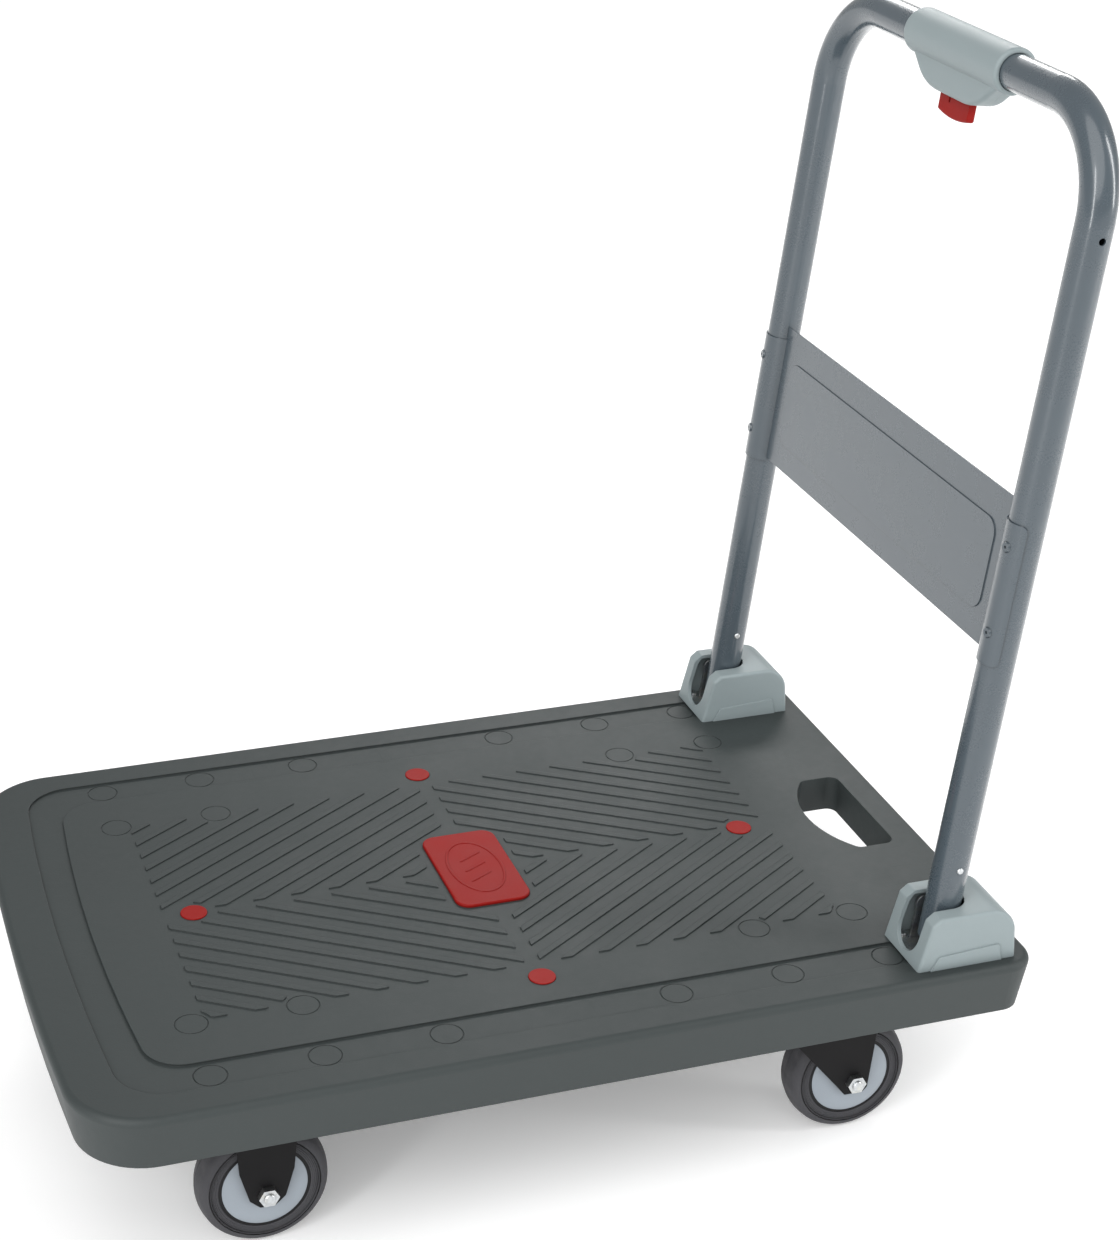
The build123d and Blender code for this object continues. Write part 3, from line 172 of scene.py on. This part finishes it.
class Graph:
    """The node graph of one material, with a Principled surface at its end."""

    def __init__(self, name: str) -> None:
        """Make an empty material with its surface shader.

        Args:
            name: The material's name.
        """
        self.material = bpy.data.materials.new(name)
        self.material.use_nodes = True
        self.tree = self.material.node_tree
        self.tree.nodes.clear()
        self.surface = self.tree.nodes.new("ShaderNodeBsdfPrincipled")
        end = self.tree.nodes.new("ShaderNodeOutputMaterial")
        self.tree.links.new(self.surface.outputs["BSDF"], end.inputs["Surface"])

    def feed(self, socket: bpy.types.NodeSocket, value: Value) -> None:
        """Link a socket to a tap, or set its own value.

        Args:
            socket: An input socket.
            value: A tap, a number, or a colour or vector of three numbers.
        """
        if isinstance(value, Tap):
            self.tree.links.new(value.socket, socket)
        elif isinstance(value, (int, float)) and hasattr(socket.default_value, "__len__"):
            socket.default_value = [value] * min(3, len(socket.default_value)) + [1.0] * (
                len(socket.default_value) - 3
            )
        elif isinstance(value, (int, float)):
            socket.default_value = value
        else:
            socket.default_value = list(value) + [1.0] * (len(socket.default_value) - len(value))

    def add(
        self,
        kind: str,
        settings: Mapping[str, Any],
        inputs: Mapping[Union[str, int], Value],
        output: Union[str, int] = 0,
    ) -> Tap:
        """Add any node.

        Args:
            kind: The node's type name.
            settings: The node's own settings, such as operation; "stops" fills a colour ramp.
            inputs: Values or taps by the name or place of the socket.
            output: The name or place of the socket to return.

        Returns:
            The chosen output's socket.
        """
        node = self.tree.nodes.new(kind)
        for name, value in settings.items():
            if name == "stops":
                self._set_stops(node.color_ramp.elements, value)
            else:
                setattr(node, name, value)
        for name, value in inputs.items():
            self.feed(node.inputs[name], value)
        return Tap(self, node.outputs[output])

    @staticmethod
    def _set_stops(elements: Any, stops: Sequence[tuple[float, Colour]]) -> None:
        """Fill a colour ramp.

        Args:
            elements: The ramp's elements.
            stops: Places and colours, in order.
        """
        while len(elements) < len(stops):
            elements.new(1.0)
        for element, (place, colour) in zip(elements, stops):
            element.position = place
            element.color = (*colour, 1.0)

    def mix(self, first: Value, second: Value, share: Value, blend: str = "MIX") -> Tap:
        """Mix two colours.

        Args:
            first: The colour at share 0.
            second: The colour at share 1.
            share: How much of the second.
            blend: The Mix node's blend type.

        Returns:
            The mixed colour's socket.
        """
        settings = {"data_type": "RGBA", "blend_type": blend, "clamp_factor": True}
        return self.add("ShaderNodeMix", settings, {0: share, 6: first, 7: second}, output=2)

    def place(self) -> Tap:
        """Position on the piece in its own frame, in metres, which moves with the piece."""
        return self.add("ShaderNodeTexCoord", {}, {}, output="Object")

    def noise(
        self, size: float, detail: float = 3.0, stretch: Point = (1.0, 1.0, 1.0), roughness: float = 0.5
    ) -> Tap:
        """Soft noise.

        Args:
            size: Rough size of its blotches in metres.
            detail: Octaves of finer noise.
            stretch: How much longer the blotches are along each axis.
            roughness: Strength of the finer octaves.

        Returns:
            A value from 0 to 1.
        """
        place = self.place() / stretch if stretch != (1.0, 1.0, 1.0) else self.place()
        inputs = {"Vector": place, "Scale": 1.0 / size, "Detail": detail, "Roughness": roughness}
        return self.add("ShaderNodeTexNoise", {}, inputs)

    def cells(self, size: float, feature: str = "F1") -> Tap:
        """Distance to the nearest point of a cell pattern.

        Args:
            size: Rough size of a cell in metres.
            feature: F1, SMOOTH_F1 or DISTANCE_TO_EDGE.

        Returns:
            A value from 0 to about 1.
        """
        inputs = {"Vector": self.place(), "Scale": 1.0 / size}
        return self.add("ShaderNodeTexVoronoi", {"feature": feature}, inputs)

    def soft_normal(self, radius: float) -> Tap:
        """Normal with the edges rounded by a small radius, in metres."""
        return self.add("ShaderNodeBevel", {"samples": 4}, {"Radius": radius})

    def edge_mask(self, radius: float) -> Tap:
        """Mask of the piece's edges, from the turn between its flat and its rounded normal.

        Args:
            radius: Reach of the mask from the edge, in metres.

        Returns:
            0 away from edges, up to 1 on them.
        """
        flat = self.add("ShaderNodeNewGeometry", {}, {}, output="Normal")
        settings = {"operation": "DOT_PRODUCT"}
        inputs = {0: self.soft_normal(radius), 1: flat}
        return (1.0 - self.add("ShaderNodeVectorMath", settings, inputs, output=1)).step(0.01, 0.22)

    def shade(self, reach: float) -> Tap:
        """How open the surface is to the room: 0 in crevices, 1 in the open.

        Args:
            reach: Distance over which other surfaces count, in metres.

        Returns:
            The openness.
        """
        return self.add("ShaderNodeAmbientOcclusion", {"samples": 6}, {"Distance": reach}, output="AO")

    def bump(self, height: Value, depth: float, normal: Value | None = None) -> Tap:
        """Normal bent by a height field.

        Args:
            height: The height, from 0 to 1.
            depth: Height of 1, in metres.
            normal: The normal to start from.

        Returns:
            The bent normal.
        """
        inputs: dict[Union[str, int], Value] = {"Height": height, "Distance": depth, "Strength": 1.0}
        if normal is not None:
            inputs["Normal"] = normal
        return self.add("ShaderNodeBump", {}, inputs)


def rgb(red: float, green: float, blue: float) -> Colour:
    """Linear colour from the 0 to 255 values that a paint chart gives.

    Args:
        red: Red.
        green: Green.
        blue: Blue.

    Returns:
        The linear colour.
    """

    def linear(value: float) -> float:
        """Undo the display curve of one channel."""
        share = value / 255.0
        return share / 12.92 if share <= 0.04045 else ((share + 0.055) / 1.055) ** 2.4

    return linear(red), linear(green), linear(blue)


# --------------------------------------------------------------------------- finishes
class Grain(Enum):
    """The texture that a mould or a coating leaves."""

    LEATHER = "leather"
    ORANGE_PEEL = "orange peel"
    SATIN = "satin"


@dataclass(frozen=True)
class Moulded:
    """Moulded plastic: a grained skin with mottled sheen, rubbed edges and painted shade in its corners."""

    name: str
    colour: Colour
    roughness: float = 0.5
    grain: Grain = Grain.SATIN
    grain_size: float = 0.0011
    grain_depth: float = 0.00004
    mottle: float = 0.10
    mottle_size: float = 0.06
    edge_radius: float = 0.0008
    edge_light: float = 0.35
    # The next two fields set the strength and reach of the painted shade: colour darkened in crevices and
    # recesses.
    painted_crevice_shade: float = 0.45
    painted_shade_reach: float = 0.008
    scuffs: float = 0.0
    specular: float = 0.4

    def material(self) -> bpy.types.Material:
        """Build the finish.

        Returns:
            The material.
        """
        graph = Graph(self.name)
        blotches = graph.noise(self.mottle_size, detail=5.0)
        fine = graph.noise(self.mottle_size / 9.0, detail=4.0, roughness=0.6)
        tone = 1.0 + (blotches - 0.5) * (2.0 * self.mottle) + (fine - 0.5) * self.mottle
        colour = graph.mix(self.colour, tone, 1.0, blend="MULTIPLY")
        edges = graph.edge_mask(self.edge_radius * 1.5) * graph.noise(0.02, detail=4.0).step(0.3, 0.65)
        lighter = tuple(min(1.0, c * 1.5 + 0.02) for c in self.colour)
        colour = graph.mix(colour, lighter, edges * self.edge_light)
        # Painted shade: the colour is darkened where the AO node finds crevices and recesses.
        open_air = graph.shade(self.painted_shade_reach)
        colour = graph.mix(colour, tuple(c * 0.25 for c in self.colour), (1.0 - open_air) * self.painted_crevice_shade)
        rough = self.roughness + (fine - 0.5) * 0.14 + (blotches - 0.5) * 0.12
        if self.scuffs > 0:
            scratches = self._scratches(graph)
            colour = graph.mix(colour, lighter, scratches * self.scuffs)
            rough = rough + scratches * 0.12
        graph.feed(graph.surface.inputs["Base Color"], colour)
        graph.feed(graph.surface.inputs["Roughness"], rough.clamp(0.12, 0.95))
        graph.feed(graph.surface.inputs["Specular IOR Level"], self.specular)
        graph.feed(graph.surface.inputs["Normal"], self._normal(graph))
        return graph.material

    def _scratches(self, graph: Graph) -> Tap:
        """Faint rubbed streaks from loads that were slid over the surface.

        Args:
            graph: The material's graph.

        Returns:
            Mask of the streaks.
        """
        long_way = graph.noise(0.0016, detail=2.0, stretch=(46.0, 1.0, 6.0)).step(0.63, 0.72)
        cross_way = graph.noise(0.0014, detail=2.0, stretch=(1.0, 40.0, 6.0)).step(0.65, 0.74)
        patches = graph.noise(0.09, detail=2.0).step(0.45, 0.7)
        return (long_way + cross_way).clamp() * patches

    def _normal(self, graph: Graph) -> Tap:
        """Normal of the grained skin on softened edges.

        Args:
            graph: The material's graph.

        Returns:
            The normal.
        """
        soft = graph.soft_normal(self.edge_radius)
        if self.grain is Grain.LEATHER:
            pebbles = graph.cells(self.grain_size, "SMOOTH_F1")
            height = pebbles * 0.7 + graph.noise(self.grain_size * 0.5, detail=2.0) * 0.5
        else:
            height = graph.noise(self.grain_size, detail=3.0, roughness=0.6)
        waves = graph.noise(0.05, detail=1.0)
        return graph.bump(waves, 0.0004, graph.bump(height, self.grain_depth, soft))


@dataclass(frozen=True)
class Painted:
    """Sprayed and baked coating on steel: glossy, a little orange peel, worn at edges, with painted shade in
    its crevices.
    """

    name: str
    colour: Colour
    roughness: float = 0.32
    metallic: float = 0.0
    coat: float = 0.35
    specular: float = 0.45
    peel_size: float = 0.0016
    peel_depth: float = 0.00001
    tone_change: float = 0.06
    edge_radius: float = 0.0006
    edge_light: float = 0.3
    # The next two fields set the strength and reach of the painted shade: colour darkened in crevices and
    # recesses.
    painted_crevice_shade: float = 0.5
    painted_shade_reach: float = 0.006

    def material(self) -> bpy.types.Material:
        """Build the finish.

        Returns:
            The material.
        """
        graph = Graph(self.name)
        blotches = graph.noise(0.035, detail=5.0)
        speckle = graph.noise(0.0012, detail=3.0, roughness=0.7)
        tone = 1.0 + (blotches - 0.5) * (2.0 * self.tone_change) + (speckle - 0.5) * (1.6 * self.tone_change)
        colour = graph.mix(self.colour, tone, 1.0, blend="MULTIPLY")
        edges = graph.edge_mask(self.edge_radius * 1.4) * graph.noise(0.008, detail=4.0).step(0.35, 0.6)
        lighter = tuple(min(1.0, c * 1.6 + 0.03) for c in self.colour)
        colour = graph.mix(colour, lighter, edges * self.edge_light)
        # Painted shade: the colour is darkened where the AO node finds crevices and recesses.
        open_air = graph.shade(self.painted_shade_reach)
        colour = graph.mix(colour, tuple(c * 0.2 for c in self.colour), (1.0 - open_air) * self.painted_crevice_shade)
        rough = self.roughness + (blotches - 0.5) * 0.16 + (speckle - 0.5) * 0.08
        graph.feed(graph.surface.inputs["Base Color"], colour)
        graph.feed(graph.surface.inputs["Roughness"], rough.clamp(0.08, 0.95))
        graph.feed(graph.surface.inputs["Metallic"], self.metallic)
        graph.feed(graph.surface.inputs["Coat Weight"], self.coat)
        graph.feed(graph.surface.inputs["Coat Roughness"], 0.12)
        graph.feed(graph.surface.inputs["Specular IOR Level"], self.specular)
        peel = graph.noise(self.peel_size, detail=2.0)
        soft = graph.soft_normal(self.edge_radius)
        graph.feed(graph.surface.inputs["Normal"], graph.bump(peel, self.peel_depth, soft))
        return graph.material


@dataclass(frozen=True)
class Plated:
    """Bright zinc plating: spangled tone, fine turning marks and a slightly warm or blue passivation."""

    name: str
    colour: Colour
    roughness: float = 0.28
    tint: Colour = (0.72, 0.69, 0.58)

    def material(self) -> bpy.types.Material:
        """Build the finish.

        Returns:
            The material.
        """
        graph = Graph(self.name)
        clouds = graph.noise(0.006, detail=4.0)
        spangle = graph.cells(0.0022)
        colour = graph.mix(self.colour, self.tint, clouds.step(0.45, 0.75) * 0.5)
        colour = graph.mix(colour, tuple(c * 0.55 for c in self.colour), spangle.step(0.35, 0.75) * 0.25)
        # Painted shade: the colour is darkened where the AO node finds crevices and recesses.
        colour = graph.mix(colour, tuple(c * 0.2 for c in self.colour), (1.0 - graph.shade(0.004)) * 0.6)
        rough = self.roughness + (clouds - 0.5) * 0.2 + spangle * 0.08
        marks = graph.noise(0.0006, detail=2.0, stretch=(1.0, 9.0, 1.0))
        graph.feed(graph.surface.inputs["Base Color"], colour)
        graph.feed(graph.surface.inputs["Roughness"], rough.clamp(0.1, 0.8))
        graph.feed(graph.surface.inputs["Metallic"], 1.0)
        graph.feed(graph.surface.inputs["Normal"], graph.bump(marks, 0.00002, graph.soft_normal(0.0004)))
        return graph.material


@dataclass(frozen=True)
class Rubber:
    """Wheel rubber: matt, with floor dust on the tread and moulding haze on the walls."""

    name: str
    colour: Colour
    dust: Colour
    roughness: float = 0.72

    def material(self) -> bpy.types.Material:
        """Build the finish.

        Returns:
            The material.
        """
        graph = Graph(self.name)
        own = graph.add("ShaderNodeTexCoord", {}, {}, output="Generated") - (0.5, 0.5, 0.5)
        flat = own * (2.0, 0.0, 2.0)
        radius = graph.add("ShaderNodeVectorMath", {"operation": "LENGTH"}, {0: flat}, output=1)
        clouds = graph.noise(0.012, detail=5.0, roughness=0.6)
        grit = graph.noise(0.0012, detail=3.0, roughness=0.7)
        tread = radius.step(0.93, 0.995)
        dusty = (tread * 0.55 + 0.25) * clouds.step(0.35, 0.7) + grit.step(0.6, 0.75) * 0.25
        colour = graph.mix(self.colour, self.dust, dusty.clamp() * 0.6)
        # Painted shade: the colour is darkened where the AO node finds crevices and recesses.
        colour = graph.mix(colour, tuple(c * 0.3 for c in self.colour), (1.0 - graph.shade(0.006)) * 0.5)
        rough = self.roughness + (clouds - 0.5) * 0.2
        graph.feed(graph.surface.inputs["Base Color"], colour)
        graph.feed(graph.surface.inputs["Roughness"], rough.clamp(0.3, 0.95))
        graph.feed(graph.surface.inputs["Normal"], graph.bump(grit, 0.00006, graph.soft_normal(0.0006)))
        return graph.material


class Finishes:
    """Every finish of the cart, keyed by the record's material slot."""

    def __init__(self) -> None:
        """Build each material once."""
        grain = Grain.LEATHER
        made: dict[str, Any] = {
            # The crevice values set how strongly each finish paints shade into its crevices and recesses.
            "deck_plastic": Moulded(
                "deck_plastic_skin", rgb(52, 58, 58), roughness=0.55, grain=grain, grain_size=0.0013,
                grain_depth=0.00005, mottle=0.09, scuffs=0.14, edge_light=0.25, painted_crevice_shade=0.85,
                painted_shade_reach=0.03,
            ),
            "red_plastic": Moulded(
                "red_plastic_skin", rgb(140, 18, 12), roughness=0.5, specular=0.15, mottle=0.06,
                mottle_size=0.02,
                edge_light=0.2, grain_depth=0.00002,
            ),
            "grey_plastic": Moulded(
                "grey_plastic_skin", rgb(136, 147, 149), roughness=0.46, mottle=0.03, mottle_size=0.03,
                edge_light=0.15, painted_crevice_shade=0.35, grain_depth=0.000025,
            ),
            "coated_steel": Painted("coated_steel_skin", rgb(70, 80, 87), roughness=0.28, coat=0.7),
            "zinc_steel": Plated("zinc_plate", rgb(205, 208, 210)),
            "black_steel": Painted(
                "black_steel_skin", rgb(9, 8, 10), roughness=0.55, coat=0.0, specular=0.2, tone_change=0.12,
                edge_light=0.2,
            ),
            "black_plastic": Moulded(
                "black_plastic_skin", rgb(20, 20, 22), roughness=0.5, specular=0.25, mottle=0.08,
                mottle_size=0.02,
            ),
            "tyre_rubber": Rubber("tyre_rubber_skin", rgb(56, 56, 60), rgb(92, 91, 93)),
            "cap_plastic": Moulded(
                "wheel_disc_skin", rgb(146, 154, 162), roughness=0.36, mottle=0.04, mottle_size=0.02,
                grain_depth=0.00001, edge_light=0.2, painted_crevice_shade=0.6,
            ),
        }
        self.by_slot = {slot: finish.material() for slot, finish in made.items()}

    def dress(self, piece: bpy.types.Object, slot: str) -> bpy.types.Object:
        """Give a piece the finish of a slot.

        Args:
            piece: A mesh object.
            slot: The record's material slot.

        Returns:
            The same object.
        """
        piece.data.materials.clear()
        piece.data.materials.append(self.by_slot[slot])
        return piece


# --------------------------------------------------------------------------- room
def aim_at(thing: bpy.types.Object, place: Point, target: Point) -> None:
    """Put a lamp at a place and turn it towards a target.

    Args:
        thing: The lamp's object.
        place: Where it hangs, in metres.
        target: The point it faces.
    """
    thing.location = place
    thing.rotation_mode = "QUATERNION"
    thing.rotation_quaternion = (Vector(target) - Vector(place)).to_track_quat("-Z", "Y")


@dataclass(frozen=True)
class Strip:
    """A tall soft box, whose reflection runs along the tubes as a streak."""

    name: str
    place: Point
    size: tuple[float, float]
    power: float

    def hang(self) -> None:
        """Hang the lamp so that it faces the handle."""
        data = bpy.data.lights.new(self.name, "AREA")
        data.shape = "RECTANGLE"
        data.size, data.size_y = self.size
        data.energy = self.power
        lamp = bpy.data.objects.new(self.name, data)
        bpy.context.scene.collection.objects.link(lamp)
        aim_at(lamp, self.place, (0.15, 0.0, 0.40))


@dataclass
class Studio:
    """Pale floor, soft lights and the camera."""

    eye: Point = (-0.5434, -1.5722, 1.1774)
    azimuth: float = -18.88
    elevation: float = 24.32
    roll: float = 1.27
    lens: float = 72.62
    shift: tuple[float, float] = (0.0593, -0.0490)
    floor_reach: float = 30.0
    floor_glow: float = 0.2
    sky_strength: float = 0.42
    sun_strength: float = 1.9
    strips: tuple[Strip, ...] = (
        Strip("left_strip", (-2.3, -1.9, 1.5), (0.35, 2.4), 30.0),
        Strip("right_strip", (2.3, -1.2, 1.6), (0.40, 2.4), 34.0),
        Strip("rear_strip", (1.4, 2.6, 1.9), (1.6, 0.5), 26.0),
    )

    def build(self) -> None:
        """Make the whole room."""
        self.camera()
        self.floor()
        self.sky()
        self.daylight()
        for lamp in self.strips:
            lamp.hang()
        bpy.context.scene.view_settings.view_transform = "Standard"

    def camera(self) -> None:
        """Make the camera and look through it."""
        turn, rise, tilt = (math.radians(v) for v in (self.azimuth, self.elevation, self.roll))
        back = Vector((math.sin(turn) * math.cos(rise), -math.cos(turn) * math.cos(rise), math.sin(rise)))
        level = Vector((math.cos(turn), math.sin(turn), 0.0))
        upright = back.cross(level)
        right = level * math.cos(tilt) + upright * math.sin(tilt)
        up = upright * math.cos(tilt) - level * math.sin(tilt)
        data = bpy.data.cameras.new("camera")
        data.lens, data.sensor_width = self.lens, 36.0
        data.shift_x, data.shift_y = self.shift
        data.clip_start, data.clip_end = 0.05, 200.0
        camera = bpy.data.objects.new("camera", data)
        bpy.context.scene.collection.objects.link(camera)
        camera.matrix_world = Matrix.Translation(self.eye) @ Matrix((right, up, back)).transposed().to_4x4()
        bpy.context.scene.camera = camera

    def floor(self) -> None:
        """Lay the pale floor just under the wheels."""
        mesh = bpy.data.meshes.new("floor")
        reach = self.floor_reach
        corners = [(-reach, -reach, 0), (reach, -reach, 0), (reach, reach, 0), (-reach, reach, 0)]
        mesh.from_pydata(corners, [], [(0, 1, 2, 3)])
        floor = bpy.data.objects.new("floor", mesh)
        bpy.context.scene.collection.objects.link(floor)
        graph = Graph("floor_paint")
        tone = 0.93 + graph.noise(0.4, detail=3.0) * 0.02
        colour = graph.mix((1.0, 1.0, 1.0), tone, 1.0, blend="MULTIPLY")
        graph.feed(graph.surface.inputs["Base Color"], colour)
        graph.feed(graph.surface.inputs["Roughness"], 0.9)
        graph.feed(graph.surface.inputs["Specular IOR Level"], 0.1)
        graph.feed(graph.surface.inputs["Emission Color"], (1.0, 1.0, 1.0))
        graph.feed(graph.surface.inputs["Emission Strength"], self.floor_glow)
        mesh.materials.append(graph.material)

    def sky(self) -> None:
        """Fill the room with even white light."""
        world = bpy.data.worlds.new("room")
        world.use_nodes = True
        world.node_tree.nodes["Background"].inputs["Color"].default_value = (1.0, 1.0, 1.0, 1.0)
        world.node_tree.nodes["Background"].inputs["Strength"].default_value = self.sky_strength
        bpy.context.scene.world = world

    def daylight(self) -> None:
        """Add the broad even light that falls from above, in front and to the left."""
        data = bpy.data.lights.new("daylight", "SUN")
        data.energy, data.angle = self.sun_strength, math.radians(70.0)
        lamp = bpy.data.objects.new("daylight", data)
        bpy.context.scene.collection.objects.link(lamp)
        aim_at(lamp, (-2.0, -2.2, 3.4), (0.0, 0.0, 0.0))


# --------------------------------------------------------------------------- the cart
@dataclass
class MouldedTyres:
    """The four tyres, turned with their crown, parting line, shoulder grooves and ringed side walls."""

    finishes: Finishes
    segments: int = 144
    ring_count: int = 4
    ring_depth: float = 0.00035
    ring_samples: int = 12
    ring_start: float = 0.06
    ring_span: float = 0.36
    wall_step: float = 0.001
    step_reach: float = 0.46
    step_end: float = 0.49
    step_edge: float = 0.0002
    shoulder_round: float = 0.0068
    shoulder_samples: int = 10
    shoulder_groove: float = 0.0005
    crown_drop: float = 0.0012
    crown_shares: tuple[float, ...] = (0.75, 0.5, 0.25, 0.08)
    parting_line: float = 0.00025
    shrink: float = 0.00005

    def build(self) -> None:
        """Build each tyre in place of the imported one."""
        for end in ENDS:
            for side in SIDES:
                self._tyre(end, side)

    def _profile(self, inner: float, outer: float, half: float) -> list[tuple[float, float]]:
        """Outline of the rubber from the inner bore round the left wall, the tread and back.

        Args:
            inner: Radius of the bore.
            outer: Radius of the tread's middle.
            half: Half the width.

        Returns:
            Pairs of offset along the axle and radius.
        """
        outer -= self.shrink
        half -= self.shrink
        wall = half - self.wall_step
        depth = outer - inner
        points = [(wall, inner)]
        rings = self.ring_samples * self.ring_count
        for step in range(rings + 1):
            share = step / rings
            wave = 0.5 - 0.5 * math.cos(share * self.ring_count * 2.0 * math.pi)
            reach = self.ring_start + self.ring_span * share
            points.append((wall - self.ring_depth * wave, inner + depth * reach))
        points.append((half - self.step_edge, inner + depth * self.step_reach))
        points.append((half, inner + depth * self.step_end))
        corner = self.shoulder_round
        centre = (half - corner, outer - self.crown_drop - corner)
        points.append((half, centre[1] - self.shoulder_groove * 2.4))
        points.append((half - self.shoulder_groove, centre[1] - self.shoulder_groove * 1.4))
        points.append((half, centre[1] - self.shoulder_groove * 0.4))
        for step in range(self.shoulder_samples + 1):
            turn = math.radians(90.0 / self.shoulder_samples * step)
            points.append((centre[0] + corner * math.cos(turn), centre[1] + corner * math.sin(turn)))
        for share in self.crown_shares:
            points.append((centre[0] * share, outer - self.crown_drop * share * share))
        points.append((self.parting_line, outer - self.parting_line))
        points.append((0.0, outer))
        mirrored = [(-across, radius) for across, radius in reversed(points[:-1])]
        return points + mirrored

    def _tyre(self, end: str, side: str) -> None:
        """Turn one tyre about its axle.

        Args:
            end: front or rear.
            side: left or right.
        """
        name = f"tyre_{end}_{side}"
        low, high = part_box(name)
        centre = (Vector(low) + Vector(high)) / 2.0
        outer, half = (high[2] - low[2]) / 2.0, (high[1] - low[1]) / 2.0
        rim_low, rim_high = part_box(f"wheel_rim_{end}_{side}")
        profile = self._profile((rim_high[2] - rim_low[2]) / 2.0 + self.shrink, outer, half)
        corners, faces = [], []
        count = len(profile)
        for turn in range(self.segments):
            angle = 2.0 * math.pi * turn / self.segments
            corners.extend((r * math.cos(angle), across, r * math.sin(angle)) for across, r in profile)
            follow = (turn + 1) % self.segments
            for step in range(count):
                other = (step + 1) % count
                faces.append(
                    (turn * count + step, turn * count + other, follow * count + other, follow * count + step)
                )
        mesh = bpy.data.meshes.new(f"moulded_{name}")
        mesh.from_pydata(corners, [], faces)
        mesh.shade_smooth()
        tyre = bpy.data.objects.new(f"moulded_{name}", mesh)
        bpy.context.scene.collection.objects.link(tyre)
        tyre.location = centre
        self.finishes.dress(tyre, "tyre_rubber")
        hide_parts(name)
        bpy.context.view_layer.update()
        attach(tyre, f"wheel_{end}_{side}")


@dataclass
class LatchSprings:
    """The two latch springs, copied from the imported ones and carried by the handle.

    keep is a spring's length with the trigger pulled, as a share of its length at rest; it is not used.
    """

    finishes: Finishes
    keep: float = 0.66

    def build(self) -> None:
        """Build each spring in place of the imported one."""
        for side in SIDES:
            name = f"latch_spring_{side}"
            packed = frame["nodes"][name]
            mesh = packed.data.copy()
            mesh.transform(packed.matrix_world)      # the copy's own frame is the row frame
            spring = bpy.data.objects.new(f"shortening_{name}", mesh)
            bpy.context.scene.collection.objects.link(spring)
            self.finishes.dress(spring, "zinc_steel")
            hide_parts(name)
            bpy.context.view_layer.update()
            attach(spring, "handle")
            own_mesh(spring)


@dataclass
class CadParts:
    """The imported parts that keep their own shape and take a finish."""

    finishes: Finishes

    def build(self) -> None:
        """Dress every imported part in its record's slot."""
        slots = {entry["node"]: entry["material_slot"] for entry in frame["record"]["subparts"]}
        for name, piece in sorted(frame["nodes"].items()):
            self.finishes.dress(piece, slots[name])
        log.info("dressed %d packed parts", len(frame["nodes"]))


def main() -> None:
    """Build the room and the cart."""
    logging.basicConfig(level=logging.INFO, format="%(name)s: %(message)s")
    Studio().build()
    finishes = Finishes()
    CadParts(finishes).build()
    MouldedTyres(finishes).build()
    LatchSprings(finishes).build()


if __name__ == "__main__":
    main()
